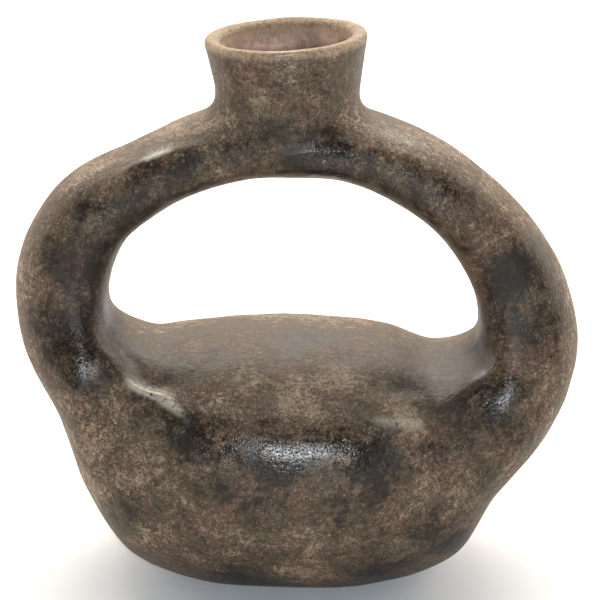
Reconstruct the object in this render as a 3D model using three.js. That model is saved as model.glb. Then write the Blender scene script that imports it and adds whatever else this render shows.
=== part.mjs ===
// A stirrup spout vessel of smoke-darkened, burnished clay, built as one hollow piece: a low
// oval chamber, a thick tubular stirrup that rises from both its ends and closes over it in a
// crown, and a short flared spout on the crown. Chamber, stirrup and spout are one open space.
//
// Millimetres. +X is to the right of the front view, +Y to the back and +Z up. The origin is
// on the ground, under the middle of the vessel.

import * as THREE from 'three';

// The open window of the stirrup, and the clay round it
const openingWidth = 151;
const openingHeight = 73;
const chamberHeight = 98;
const crownThickness = 29;
const armThickness = 40;

// Front to back
const armDepth = 50;
const chamberDepth = 130;
const crownShoulder = 1.3;

// The walls
const stirrupWall = 5;
const chamberWall = 6.5;

// How deep the rounded form is cut off flat to stand on the ground
const footCut = 3;

// The spout: its neck, its rim, its height over the crown, its lean and the tilt of its rim
const neckWidth = 55;
const rimWidth = 65;
const lipThickness = 6.6;
const lipRise = 2.6;
const lipLean = 1.4;
const spoutHeight = 27.5;
const spoutLean = THREE.MathUtils.degToRad(2.5);
const rimSlopeSide = THREE.MathUtils.degToRad(2.5);
const rimSlopeBack = THREE.MathUtils.degToRad(1.8);
const filletLeft = 11;
const filletRight = 9;
const filletFront = 4.5;

// How square the sections are, where 2 is an ellipse and more is squarer, and how much the
// chamber narrows from its top to its foot
const crownSquareness = 2.15;
const armSquareness = 2.4;
const chamberSquareness = 2.6;
const chamberTaper = 0.08;

// The chamber's oval plan: its length as a share of the vessel's width, and how full it is
const ovalShare = 0.945;
const ovalFullness = 0.75;

// The heights, as shares of the chamber's, between which the arms' roots swell into it, and how
// far along that swelling the wall gets its full thickness
const rootFoot = 0.74;
const rootTop = 1.36;
const fullWallShare = 0.4;

// How far the crown's swelling spreads, in neck radii, and the bend of the spout's flare
const crownSpread = 1.4;
const flareBend = 1.3;

// The ribs: sections of the ring of clay round the opening, clockwise from the crown. Each is
// the place of its outer side and of its side at the opening. The outer side is given as shares
// of half the width and of the crown's height, the inner side as shares of half the opening's
// width and of its height.
const ribs = [
  [-0.031, 1.000, -0.040, 1.000],
  [0.266, 0.970, 0.224, 0.982],
  [0.532, 0.899, 0.465, 0.874],
  [0.759, 0.792, 0.683, 0.723],
  [0.935, 0.654, 0.848, 0.511],
  [1.000, 0.490, 0.954, 0.263],
  [0.900, 0.334, 0.974, -0.025],
  [0.713, 0.201, 0.740, -0.142],
  [0.561, 0.060, 0.487, -0.041],
  [0.272, 0.005, 0.225, -0.008],
  [-0.026, 0.000, -0.040, 0.003],
  [-0.319, 0.009, -0.289, 0.014],
  [-0.600, 0.068, -0.536, 0.005],
  [-0.758, 0.203, -0.788, -0.022],
  [-0.851, 0.362, -1.008, 0.107],
  [-0.980, 0.513, -1.023, 0.371],
  [-0.977, 0.678, -0.932, 0.611],
  [-0.833, 0.820, -0.742, 0.777],
  [-0.576, 0.902, -0.530, 0.911],
  [-0.312, 0.974, -0.289, 0.981],
];

// How fine the facets are, and the rows of facets in each part of the spout
const cellsPerRib = 5;
const cellsAcross = 32;
const collarRows = 3;
const filletRows = 3;
const wallRows = 3;
const lipRows = 4;
const boreRows = 3;

const halfWidth = openingWidth / 2 + armThickness;
const crownHeight = chamberHeight + openingHeight + crownThickness;
const cellsAround = ribs.length * cellsPerRib;
const neckRadius = neckWidth / 2;
const rimRadius = rimWidth / 2;
const crownX = ribs[0][0] * halfWidth;

// The ribs' places in millimetres: a point of the vessel's outline and one of the opening's
const ribPlaces = ribs.map(([side, height, openingSide, openingRise]) => ({
  outer: new THREE.Vector2(side * halfWidth, height * (crownHeight + footCut) - footCut),
  inner: new THREE.Vector2(
    openingSide * openingWidth / 2,
    chamberHeight + openingRise * openingHeight,
  ),
}));

// How far a rib belongs to the chamber: 0 in the stirrup, 1 in the chamber's middle. The
// chamber is an oval seen from above, and the arms grow out of its ends.
function chamberShare({ outer, inner }) {
  const side = (outer.x + inner.x) / 2;
  const height = (outer.y + inner.y) / 2;
  const raised = THREE.MathUtils.smoothstep(height / chamberHeight, rootFoot, rootTop);
  const oval = Math.max(0, 1 - (side / (ovalShare * halfWidth)) ** 2);
  return (1 - raised) * oval ** ovalFullness;
}

// How far a place of the outline belongs to the crown: 1 under the spout, fading out beside it
function crownShare(side, height) {
  if (height < crownHeight / 2) {
    return 0;
  }
  const fromCrown = (side - crownX) / (crownSpread * neckRadius);
  return Math.exp(-(fromCrown ** 2));
}

// Half the depth of a rib: the stirrup's, swelling under the spout and into the chamber
function halfDepth(place) {
  const crownHalf = neckRadius + crownShoulder;
  const chamberSwell = (chamberDepth - armDepth) / 2 * chamberShare(place);
  const crownSwell = (crownHalf - armDepth / 2) * crownShare(place.outer.x, place.outer.y);
  return armDepth / 2 + chamberSwell + crownSwell;
}

// The two lines that the ribs run between. The outer one carries each rib's half depth as its
// y, and the one at the opening its share of the chamber.
function closedLine(points) {
  return new THREE.CatmullRomCurve3(points, true, 'catmullrom', 0.5);
}

const outerLine = closedLine(ribPlaces.map((place) => (
  new THREE.Vector3(place.outer.x, halfDepth(place), place.outer.y)
)));

const openingLine = closedLine(ribPlaces.map((place) => (
  new THREE.Vector3(place.inner.x, chamberShare(place), place.inner.y)
)));

// A point of the outside. turn runs once round the opening, from 0 at the crown; angle runs
// round the section, from 0 at the outer side, through the back, the opening and the front.
function skin(turn, angle) {
  const share = turn - Math.floor(turn);
  const outer = outerLine.getPoint(share);
  const inner = openingLine.getPoint(share);
  const lower = (chamberSquareness - armSquareness) * inner.y;
  const upper = (crownSquareness - armSquareness) * crownShare(outer.x, outer.z);
  const squareness = armSquareness + lower + upper;
  const c = Math.cos(angle);
  const s = Math.sin(angle);
  const reach = (Math.abs(c) ** squareness + Math.abs(s) ** squareness) ** (-1 / squareness);
  const across = reach * c;
  const taper = 1 - chamberTaper * inner.y * across;
  return new THREE.Vector3(
    (outer.x + inner.x) / 2 + (outer.x - inner.x) / 2 * across,
    outer.y * reach * s * taper,
    (outer.z + inner.z) / 2 + (outer.z - inner.z) / 2 * across,
  );
}

// The clay's thickness at a turn round the opening
function wallAt(turn) {
  const share = openingLine.getPoint(turn - Math.floor(turn)).y;
  const full = THREE.MathUtils.smoothstep(share, 0, fullWallShare);
  return THREE.MathUtils.lerp(stirrupWall, chamberWall, full);
}

// A point of the outside, or of the inside, which is the skin moved in by the wall. Both are
// cut off flat below: the outside on the ground, the inside a wall above it.
function shell(turn, angle, inside) {
  const point = skin(turn, angle);
  if (inside) {
    const step = 1e-3;
    const along = skin(turn + step, angle).sub(skin(turn - step, angle));
    const round = skin(turn, angle + step).sub(skin(turn, angle - step));
    point.addScaledVector(along.cross(round).normalize(), -wallAt(turn));
  }
  point.z = Math.max(point.z, inside ? chamberWall : 0);
  return point;
}

// The turn and angle of the shell's point straight under the spot (x, y) of the crown, found
// by stepping along the surface until it is there
function spotOnCrown(x, y, inside) {
  const step = 1e-4;
  let turn = (x - crownX) / (ribPlaces[1].outer.x - crownX) / ribs.length;
  let angle = y / (2 * neckRadius);
  for (let round = 0; round < 30; round += 1) {
    const here = shell(turn, angle, inside);
    const byTurn = shell(turn + step, angle, inside).sub(here).divideScalar(step);
    const byAngle = shell(turn, angle + step, inside).sub(here).divideScalar(step);
    const dx = x - here.x;
    const dy = y - here.y;
    const area = byTurn.x * byAngle.y - byTurn.y * byAngle.x;
    turn += (dx * byAngle.y - dy * byAngle.x) / area;
    angle += (byTurn.x * dy - byTurn.y * dx) / area;
  }
  return { turn, angle };
}

// The middle of the spout at a height: it leans a little to the left
function spoutX(height) {
  return crownX - Math.tan(spoutLean) * (height - crownHeight);
}

// A ring of the spout at a heading round it: a share of the way up from its crease on the crown
// to the edge of its rim, flaring from one radius to the other
function spoutWall(crease, heading, share, footRadius, edgeRadius) {
  const edge = rimEdgeHeight(heading);
  const radius = THREE.MathUtils.lerp(footRadius, edgeRadius, share ** flareBend);
  const height = THREE.MathUtils.lerp(crease.z, edge, share);
  return new THREE.Vector3(
    spoutX(height) + radius * Math.cos(heading),
    radius * Math.sin(heading),
    height,
  );
}

// Where the rounding of the lip begins, on a rim that slopes down to the left and to the back
function rimEdgeHeight(heading) {
  const middle = crownHeight + spoutHeight - lipRise;
  const side = Math.tan(rimSlopeSide) * rimRadius * Math.cos(heading);
  const back = Math.tan(rimSlopeBack) * rimRadius * Math.sin(heading);
  return middle + side - back;
}

// The lip's rounding, from its outer edge over the top to its inner edge. Its lean, over 1,
// keeps the top near the outer edge and gives the inner side the longer slope.
function lip(heading, share) {
  const bend = Math.PI * share;
  const edge = rimEdgeHeight(heading);
  const radius = rimRadius - lipThickness * ((1 - Math.cos(bend)) / 2) ** lipLean;
  return new THREE.Vector3(
    spoutX(edge) + radius * Math.cos(heading),
    radius * Math.sin(heading),
    edge + lipRise * Math.sin(bend),
  );
}

// The points and facets of the one closed surface, and the ways to add to them
const points = [];
const facets = [];

function addPoint(point) {
  points.push(point);
  return points.length - 1;
}

// Four corners, anticlockwise from outside the clay, split along the shorter diagonal
function addCell(a, b, c, d) {
  const straight = points[a].distanceTo(points[c]) < points[b].distanceTo(points[d]);
  if (straight) facets.push(a, b, c, a, c, d);
  else facets.push(a, b, d, b, c, d);
}

// A band of facets from one loop to the next, which has as many points or half as many
function addBand(from, to) {
  const count = to.length;
  const ratio = from.length / count;
  for (let k = 0; k < count; k += 1) {
    const next = (k + 1) % count;
    if (ratio === 1) {
      addCell(from[k], from[next], to[next], to[k]);
    } else {
      const middle = from[2 * k + 1];
      facets.push(from[2 * k], middle, to[k], middle, to[next], to[k]);
      facets.push(middle, from[2 * next], to[next]);
    }
  }
}

// The rim of the window that a shell leaves open for the spout, anticlockwise from the right,
// as cells from its middle: reach to the sides and spread to the front and back
function windowRim(reach, spread) {
  const rim = [];
  for (let v = 0; v < spread; v += 1) rim.push([reach, v]);
  for (let u = reach; u > -reach; u -= 1) rim.push([u, spread]);
  for (let v = spread; v > -spread; v -= 1) rim.push([-reach, v]);
  for (let u = -reach; u < reach; u += 1) rim.push([u, -spread]);
  for (let v = -spread; v < 0; v += 1) rim.push([reach, v]);
  return rim;
}

// The heading round the spout that a place on the window's rim belongs to
function headingOf([u, v], reach, spread) {
  const quarter = Math.PI / 4;
  if (u === reach && Math.abs(v) < spread) return quarter * v / spread;
  if (u === -reach && Math.abs(v) < spread) return quarter * (4 - v / spread);
  return v > 0 ? quarter * (2 - u / reach) : quarter * (6 + u / reach);
}

// One shell round the ring, open at the window. Returns the window's rim, as the points'
// numbers and as their turns, angles and headings.
function addShell(around, across, reach, inside) {
  const spread = across / 4;
  const numbers = new Map();
  const numberAt = (i, j) => {
    const key = (i + around) % around * across + (j + across) % across;
    if (!numbers.has(key)) {
      numbers.set(key, addPoint(shell(i / around, 2 * Math.PI * j / across, inside)));
    }
    return numbers.get(key);
  };
  for (let i = -reach; i < around - reach; i += 1) {
    for (let j = -spread; j < across - spread; j += 1) {
      if (i >= reach || j >= spread) {
        const corners = [[i, j], [i + 1, j], [i + 1, j + 1], [i, j + 1]].map((c) => numberAt(...c));
        addCell(...(inside ? corners.reverse() : corners));
      }
    }
  }
  return windowRim(reach, spread).map(([u, v]) => ({
    number: numberAt(u, v),
    turn: u / around,
    angle: 2 * Math.PI * v / across,
    heading: headingOf([u, v], reach, spread),
  }));
}

// The crease where the spout meets the crown, all round it, and its place on the shell
function creaseLoop(rim, radius, inside) {
  return rim.map(({ heading }) => {
    const x = spoutX(crownHeight) + radius * Math.cos(heading);
    const spot = spotOnCrown(x, radius * Math.sin(heading), inside);
    return { ...spot, heading, point: shell(spot.turn, spot.angle, inside) };
  });
}

// The shell between the window's rim and a loop round the spout's foot, in rows
function collarLoops(rim, foot, rows, inside) {
  const loops = [];
  for (let row = 1; row < rows; row += 1) {
    loops.push(rim.map((from, k) => {
      const turn = THREE.MathUtils.lerp(from.turn, foot[k].turn, row / rows);
      const angle = THREE.MathUtils.lerp(from.angle, foot[k].angle, row / rows);
      return shell(turn, angle, inside);
    }));
  }
  return loops;
}

// How far the fillet reaches out from the crease: soft on the left, tighter on the right, and
// tightest at the front and the back
function filletReach(heading) {
  const side = Math.cos(heading) > 0 ? filletRight : filletLeft;
  return THREE.MathUtils.lerp(filletFront, side, Math.cos(heading) ** 2);
}

// The foot of the fillet, on the crown outside the crease
function filletFoot({ turn, angle, heading, point }) {
  const step = 1e-4;
  const reach = filletReach(heading);
  const turnLength = shell(turn + step, angle, false).distanceTo(point) / step;
  const angleLength = shell(turn, angle + step, false).distanceTo(point) / step;
  return {
    turn: turn + reach * Math.cos(heading) / turnLength,
    angle: angle + reach * Math.sin(heading) / angleLength,
  };
}

// The fillet's rows, each a curve drawn from its foot towards the crease and up the wall
function filletLoops(creases, feet) {
  const curves = creases.map((crease, k) => {
    const rise = filletReach(crease.heading) / (rimEdgeHeight(crease.heading) - crease.point.z);
    const top = spoutWall(crease.point, crease.heading, rise, neckRadius, rimRadius);
    const foot = shell(feet[k].turn, feet[k].angle, false);
    return { rise, line: new THREE.QuadraticBezierCurve3(foot, crease.point, top) };
  });
  const loops = [];
  for (let row = 0; row <= filletRows; row += 1) {
    loops.push(curves.map(({ line }) => line.getPoint(row / filletRows)));
  }
  return { loops, rises: curves.map(({ rise }) => rise) };
}

// The outside of the spout, from the window in the crown up to the edge of the rim
function outerSpoutLoops(rim) {
  const creases = creaseLoop(rim, neckRadius, false);
  const feet = creases.map(filletFoot);
  const { loops: fillet, rises } = filletLoops(creases, feet);
  const loops = [...collarLoops(rim, feet, collarRows, false), ...fillet];
  for (let row = 1; row <= wallRows; row += 1) {
    loops.push(creases.map(({ point, heading }, k) => {
      const share = THREE.MathUtils.lerp(rises[k], 1, row / wallRows);
      return spoutWall(point, heading, share, neckRadius, rimRadius);
    }));
  }
  return loops;
}

function lipLoops(rim) {
  const loops = [];
  for (let row = 1; row <= lipRows; row += 1) {
    loops.push(rim.map(({ heading }) => lip(heading, row / lipRows)));
  }
  return loops;
}

// The bore, from under the lip down to the crease in the crown's ceiling
function boreLoops(rim, rows) {
  const foot = neckRadius - stirrupWall;
  const creases = creaseLoop(rim, foot, true);
  return rows.map((share) => creases.map(({ point, heading }) => (
    spoutWall(point, heading, share, foot, rimRadius - lipThickness)
  )));
}

// The whole vessel: the outside, over the lip, down the bore and into the chamber
function vessel() {
  const widest = spotOnCrown(crownX - neckRadius - filletLeft, 0, false);
  const reach = 2 * Math.ceil((Math.abs(widest.turn) * cellsAround + 1) / 2);
  const outerRim = addShell(cellsAround, cellsAcross, reach, false);
  const innerRim = addShell(cellsAround / 2, cellsAcross / 2, reach / 2, true);

  const steps = Array.from({ length: boreRows }, (_, row) => 1 - (row + 1) / (boreRows + 1));
  const innerCreases = creaseLoop(innerRim, neckRadius - stirrupWall, true);
  const innerCollar = collarLoops(innerRim, innerCreases, 2, true).reverse();
  const loops = [
    ...outerSpoutLoops(outerRim),
    ...lipLoops(outerRim),
    ...boreLoops(outerRim, steps),
    innerCreases.map(({ point }) => point),
    ...innerCollar,
  ].map((loop) => loop.map(addPoint));

  const chain = [outerRim.map(({ number }) => number), ...loops,
    innerRim.map(({ number }) => number)];
  for (let k = 1; k < chain.length; k += 1) addBand(chain[k - 1], chain[k]);

  const geometry = new THREE.BufferGeometry().setFromPoints(points);
  geometry.setIndex(facets);
  geometry.computeBoundingBox();
  const middle = geometry.boundingBox.getCenter(new THREE.Vector3());
  geometry.translate(-middle.x, -middle.y, 0);
  geometry.computeVertexNormals();
  return geometry;
}

const clay = new THREE.MeshStandardMaterial({ color: 0x4a4037, roughness: 0.45, metalness: 0 });

const body = new THREE.Mesh(vessel(), clay);
body.name = 'vessel';

const stirrupVessel = new THREE.Group();
stirrupVessel.add(body);

export default stirrupVessel;
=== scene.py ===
# %% [markdown]
# This lesson dresses a stirrup spout vessel: a low oval chamber of dark burnished clay, a thick
# tubular stirrup that grows out of both its ends and closes over it in a crown, and a short
# flared spout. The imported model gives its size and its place. Here it gets the uneven surface
# of a thing shaped by hand, and the finish of clay that was polished with a pebble and then
# darkened in a smoky fire.

# %% Load the frame
import functools
import itertools
import math

import bpy
import numpy as np
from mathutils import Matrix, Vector


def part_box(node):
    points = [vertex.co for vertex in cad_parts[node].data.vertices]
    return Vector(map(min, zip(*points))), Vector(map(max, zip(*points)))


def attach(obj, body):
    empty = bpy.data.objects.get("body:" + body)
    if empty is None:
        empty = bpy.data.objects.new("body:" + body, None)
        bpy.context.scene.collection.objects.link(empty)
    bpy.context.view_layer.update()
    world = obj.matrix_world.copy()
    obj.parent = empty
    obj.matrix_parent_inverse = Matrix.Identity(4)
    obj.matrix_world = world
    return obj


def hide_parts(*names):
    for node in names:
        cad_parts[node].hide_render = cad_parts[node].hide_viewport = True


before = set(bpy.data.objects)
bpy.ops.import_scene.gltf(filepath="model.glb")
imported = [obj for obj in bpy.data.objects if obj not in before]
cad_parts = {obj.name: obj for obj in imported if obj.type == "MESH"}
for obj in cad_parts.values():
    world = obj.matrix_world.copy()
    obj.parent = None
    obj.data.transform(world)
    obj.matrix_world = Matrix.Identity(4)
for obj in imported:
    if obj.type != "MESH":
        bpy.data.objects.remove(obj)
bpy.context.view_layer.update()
lowest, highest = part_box("vessel")
MM = 0.001
print("the vessel's box in mm:", [round(side / MM, 1) for side in highest - lowest])

# %% [markdown]
# The camera comes first, because everything is judged through it. It stands where the
# photograph was taken from: in front of the stirrup's opening and looking down at it. A long
# lens keeps the ring from bulging. The lens follows from the focal length in pixels, the
# picture's longer side and the sensor's width.

# %% Place the camera
PICTURE_SIDE = 600
FOCAL_PIXELS = 2805
CAMERA_DISTANCE = 1.15
CAMERA_ELEVATION = math.radians(20.5)
SENSOR_WIDTH = 36
AIM_SHARE = 0.5007
AIM_ASIDE = -0.4 * MM

aim = Vector((AIM_ASIDE, 0, lowest.z + AIM_SHARE * (highest.z - lowest.z)))
camera = bpy.data.objects.new("camera", bpy.data.cameras.new("camera"))
camera.data.sensor_width = SENSOR_WIDTH
camera.data.lens = FOCAL_PIXELS * SENSOR_WIDTH / PICTURE_SIDE
camera.location = aim + CAMERA_DISTANCE * Vector(
    (0, -math.cos(CAMERA_ELEVATION), math.sin(CAMERA_ELEVATION))
)
camera.rotation_euler = (math.pi / 2 - CAMERA_ELEVATION, 0, 0)
bpy.context.scene.collection.objects.link(camera)
bpy.context.scene.camera = camera
bpy.context.scene.view_settings.view_transform = "Standard"
print("lens in mm:", round(camera.data.lens, 1))

# %% [markdown]
# The potter built a closed ring of clay round an opening, so the form is described the same
# way: ribs, the sections of the ring, stand round the opening like spokes. Each rib is a place
# on the vessel's outline and a place on the opening's edge. A curve through all the outer
# places and one through all the inner places give the ring at any point between two ribs. A
# handle could also be joined to a bowl, but the join would leave a crease that this clay hasn't.

# %% The vessel's sizes and its ribs
OPENING_WIDTH = 151 * MM
OPENING_HEIGHT = 73 * MM
CHAMBER_HEIGHT = 98 * MM
CROWN_THICKNESS = 29 * MM
ARM_THICKNESS = 40 * MM
ARM_DEPTH = 50 * MM
CHAMBER_DEPTH = 130 * MM
CROWN_SHOULDER = 1.3 * MM
STIRRUP_WALL = 5 * MM
CHAMBER_WALL = 6.5 * MM
FOOT_CUT = 3 * MM
NECK_RADIUS = 27.5 * MM

# The oval plan of the chamber, the heights between which the arms' roots swell into it, and
# how far the crown's swelling spreads
OVAL_SHARE = 0.945
OVAL_FULLNESS = 0.75
ROOT_FOOT = 0.74
ROOT_TOP = 1.36
CROWN_SPREAD = 1.4

# How square the sections are, 2 being an ellipse, and how far the chamber narrows downwards
CROWN_SQUARENESS = 2.15
ARM_SQUARENESS = 2.4
CHAMBER_SQUARENESS = 2.6
CHAMBER_TAPER = 0.08
FULL_WALL_SHARE = 0.4

HALF_WIDTH = OPENING_WIDTH / 2 + ARM_THICKNESS
CROWN_HEIGHT = CHAMBER_HEIGHT + OPENING_HEIGHT + CROWN_THICKNESS

# Clockwise from the crown: the outer side in shares of half the width and of the crown's
# height, then the inner side in shares of half the opening's width and of its height
RIBS = np.array([
    (-0.031, 1.000, -0.040, 1.000),
    (0.266, 0.970, 0.224, 0.982),
    (0.532, 0.899, 0.465, 0.874),
    (0.759, 0.792, 0.683, 0.723),
    (0.935, 0.654, 0.848, 0.511),
    (1.000, 0.490, 0.954, 0.263),
    (0.900, 0.334, 0.974, -0.025),
    (0.713, 0.201, 0.740, -0.142),
    (0.561, 0.060, 0.487, -0.041),
    (0.272, 0.005, 0.225, -0.008),
    (-0.026, 0.000, -0.040, 0.003),
    (-0.319, 0.009, -0.289, 0.014),
    (-0.600, 0.068, -0.536, 0.005),
    (-0.758, 0.203, -0.788, -0.022),
    (-0.851, 0.362, -1.008, 0.107),
    (-0.980, 0.513, -1.023, 0.371),
    (-0.977, 0.678, -0.932, 0.611),
    (-0.833, 0.820, -0.742, 0.777),
    (-0.576, 0.902, -0.530, 0.911),
    (-0.312, 0.974, -0.289, 0.981),
])
outer_x = RIBS[:, 0] * HALF_WIDTH
outer_z = RIBS[:, 1] * (CROWN_HEIGHT + FOOT_CUT) - FOOT_CUT
inner_x = RIBS[:, 2] * OPENING_WIDTH / 2
inner_z = CHAMBER_HEIGHT + RIBS[:, 3] * OPENING_HEIGHT
CROWN_X = outer_x[0]
print(len(RIBS), "ribs; the crown is", round(CROWN_HEIGHT / MM), "mm high")

# %% [markdown]
# Front to back, the ring is a round tube in the stirrup, a little deeper under the spout, and
# it swells into an oval chamber below. How far a rib belongs to the chamber is one number
# from 0 to 1, and the depth, the wall and the shape of the section all follow it.

# %% How deep each rib is
def smooth_step(value, low, high):
    """0 below low and 1 above high, with 3 t^2 - 2 t^3 between them, t being the share of the
    way from low to high."""
    t = np.clip((value - low) / (high - low), 0, 1)
    return t * t * (3 - 2 * t)


def blend(start, end, share):
    """The value at a share of the way from the start to the end."""
    return start + (end - start) * share


def crown_share(side, height):
    """How far a place of the outline belongs to the crown: exp(-d^2) of its distance d beside
    the crown in crown spreads, and nothing in the lower half."""
    distance = (side - CROWN_X) / (CROWN_SPREAD * NECK_RADIUS)
    return np.where(height < CROWN_HEIGHT / 2, 0, np.exp(-distance ** 2))


middle_x = (outer_x + inner_x) / 2
middle_z = (outer_z + inner_z) / 2
raised = smooth_step(middle_z / CHAMBER_HEIGHT, ROOT_FOOT, ROOT_TOP)
oval = np.clip(1 - (middle_x / (OVAL_SHARE * HALF_WIDTH)) ** 2, 0, 1)
chamber_share = (1 - raised) * oval ** OVAL_FULLNESS
half_depth = (
    ARM_DEPTH / 2
    + (CHAMBER_DEPTH - ARM_DEPTH) / 2 * chamber_share
    + (NECK_RADIUS + CROWN_SHOULDER - ARM_DEPTH / 2) * crown_share(outer_x, outer_z)
)
print("depth of the ribs in mm:", np.round(2 * half_depth / MM))

# %% [markdown]
# The outside is a surface of two parameters. The turn goes once round the opening and the
# angle goes once round the tube. A section is a superellipse: an ellipse whose exponent makes
# it a little squarer, as clay gets that is pressed and wiped with the flat of the hand.

# %% The outside as a function of a turn and an angle
def closed_curve(places, turn):
    """The curve through places at a turn, 1 being once round. Between two places it is the
    cubic that passes through both and, at each, runs parallel to the line between its
    neighbours."""
    count = len(places)
    along = np.mod(turn, 1) * count
    first = np.floor(along).astype(int)
    t = (along - first)[..., None]
    p0, p1, p2, p3 = (places[(first + k) % count] for k in (-1, 0, 1, 2))
    return 0.5 * (
        2 * p1 + (p2 - p0) * t
        + (2 * p0 - 5 * p1 + 4 * p2 - p3) * t ** 2
        + (3 * p1 - p0 - 3 * p2 + p3) * t ** 3
    )


# For each rib, its outer place with half its depth, and its inner place with the share that
# belongs to the chamber
OUTER_LINE = np.column_stack([outer_x, half_depth, outer_z])
INNER_LINE = np.column_stack([inner_x, chamber_share, inner_z])
NORMAL_STEP = 1e-3


def skin(turn, angle):
    """Points at a turn round the opening and an angle round the section: 0 at the outer side,
    a quarter turn at the back, half a turn at the opening. A point lies at the section's
    middle, plus reach times the cosine along the rib and reach times the sine to the back,
    where reach is the superellipse's radius (|cos|^n + |sin|^n)^(-1/n)."""
    turn, angle = np.broadcast_arrays(turn, angle)
    outer = closed_curve(OUTER_LINE, turn)
    inner = closed_curve(INNER_LINE, turn)
    share = inner[..., 1]
    power = (
        ARM_SQUARENESS
        + (CHAMBER_SQUARENESS - ARM_SQUARENESS) * share
        + (CROWN_SQUARENESS - ARM_SQUARENESS) * crown_share(outer[..., 0], outer[..., 2])
    )
    cosine, sine = np.cos(angle), np.sin(angle)
    reach = (np.abs(cosine) ** power + np.abs(sine) ** power) ** (-1 / power)
    across = reach * cosine
    return np.stack([
        (outer[..., 0] + inner[..., 0]) / 2 + (outer[..., 0] - inner[..., 0]) / 2 * across,
        outer[..., 1] * reach * sine * (1 - CHAMBER_TAPER * share * across),
        (outer[..., 2] + inner[..., 2]) / 2 + (outer[..., 2] - inner[..., 2]) / 2 * across,
    ], axis=-1)


def shell(turn, angle, inside=False):
    """The outside, or the inside: the outside moved in along its normal by the wall. Both are
    cut off flat at the foot."""
    points = skin(turn, angle)
    if inside:
        along = skin(turn + NORMAL_STEP, angle) - skin(turn - NORMAL_STEP, angle)
        round_it = skin(turn, angle + NORMAL_STEP) - skin(turn, angle - NORMAL_STEP)
        normals = np.cross(along, round_it)
        normals /= np.linalg.norm(normals, axis=-1, keepdims=True)
        share = closed_curve(INNER_LINE, turn)[..., 1]
        wall = blend(STIRRUP_WALL, CHAMBER_WALL, smooth_step(share, 0, FULL_WALL_SHARE))
        points = points - normals * np.broadcast_to(wall, points.shape[:-1])[..., None]
    points[..., 2] = np.maximum(points[..., 2], CHAMBER_WALL if inside else 0)
    return points


print("the crown's top in mm:", np.round(shell(0.0, 0.0) / MM, 1))

# %% [markdown]
# The spout was set on the crown as a collar of clay, smoothed in and flared. It starts on a
# ring drawn on the crown, so that ring has to be found on the surface first. A search by
# slopes does it: step the turn and the angle until the surface is straight under the spot.

# %% The spout's sizes, and its ring on the crown
RIM_RADIUS = 32.5 * MM
LIP_THICKNESS = 6.6 * MM
LIP_RISE = 2.6 * MM
LIP_LEAN = 1.4
SPOUT_HEIGHT = 27.5 * MM
SPOUT_LEAN = math.radians(2.5)
RIM_SLOPE_SIDE = math.radians(2.5)
RIM_SLOPE_BACK = math.radians(1.8)
FILLET_LEFT = 11 * MM
FILLET_RIGHT = 9 * MM
FILLET_FRONT = 4.5 * MM
FLARE_BEND = 1.3
SLOPE_STEP = 1e-4
SEARCH_STEPS = 30


def spot_on_crown(x, y, inside=False):
    """The turn and the angle of the shell's points over or under the spots (x, y). The first
    guess takes the crown for a straight tube. Each step then divides what is still missing by
    the surface's slopes along the turn and along the angle."""
    turn = (x - CROWN_X) / (outer_x[1] - CROWN_X) / len(RIBS)
    angle = y / (2 * NECK_RADIUS)
    for _ in range(SEARCH_STEPS):
        here = shell(turn, angle, inside)
        by_turn = (shell(turn + SLOPE_STEP, angle, inside) - here) / SLOPE_STEP
        by_angle = (shell(turn, angle + SLOPE_STEP, inside) - here) / SLOPE_STEP
        dx, dy = x - here[..., 0], y - here[..., 1]
        area = by_turn[..., 0] * by_angle[..., 1] - by_turn[..., 1] * by_angle[..., 0]
        turn = turn + (dx * by_angle[..., 1] - dy * by_angle[..., 0]) / area
        angle = angle + (by_turn[..., 0] * dy - by_turn[..., 1] * dx) / area
    return turn, angle


neck_turn, _ = spot_on_crown(np.array(CROWN_X - NECK_RADIUS), np.array(0.0))
print("the neck's left edge lies at turn", round(float(neck_turn), 4))

# %% [markdown]
# The flared wall, the lip and the fillet at the foot are rings round the spout's middle line,
# which leans a little to the left. The rim isn't level either. The lip is half an ellipse whose
# top is drawn outward, as it gets when it is wiped between finger and thumb.

# %% The spout's wall, lip and fillet
def rim_edge_height(heading):
    """Where the lip's rounding starts, on a rim that slopes down to the left and the back."""
    middle = CROWN_HEIGHT + SPOUT_HEIGHT - LIP_RISE
    side = math.tan(RIM_SLOPE_SIDE) * RIM_RADIUS * np.cos(heading)
    back = math.tan(RIM_SLOPE_BACK) * RIM_RADIUS * np.sin(heading)
    return middle + side - back


def ring_of_spout(heading, radius, height):
    """Points round the spout's leaning middle line, at a radius and a height."""
    middle = CROWN_X - math.tan(SPOUT_LEAN) * (height - CROWN_HEIGHT)
    return np.stack([middle + radius * np.cos(heading), radius * np.sin(heading), height], -1)


def spout_wall(crease_height, heading, share, foot_radius, edge_radius):
    """The wall at a share of the way up: its radius grows with the share to the power of the
    flare's bend."""
    radius = blend(foot_radius, edge_radius, share ** FLARE_BEND)
    height = blend(crease_height, rim_edge_height(heading), share)
    return ring_of_spout(heading, radius, height)


def lip(heading, share):
    """The lip's rounding, half an ellipse from the outer edge over the top to the inner: it
    goes inward by the thickness times ((1 - cos) / 2)^lean and up by the rise times the sine.
    A lean above 1 draws the top outward."""
    bend = math.pi * share
    inward = LIP_THICKNESS * ((1 - math.cos(bend)) / 2) ** LIP_LEAN
    radius = np.full(len(heading), RIM_RADIUS - inward)
    return ring_of_spout(heading, radius, rim_edge_height(heading) + LIP_RISE * math.sin(bend))


def fillet_reach(heading):
    """How far the fillet at the spout's foot reaches: soft on the left, tighter on the right,
    and tightest at the front and the back, going over from one to the other with cos^2."""
    side = np.where(np.cos(heading) > 0, FILLET_RIGHT, FILLET_LEFT)
    return blend(FILLET_FRONT, side, np.cos(heading) ** 2)


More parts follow.
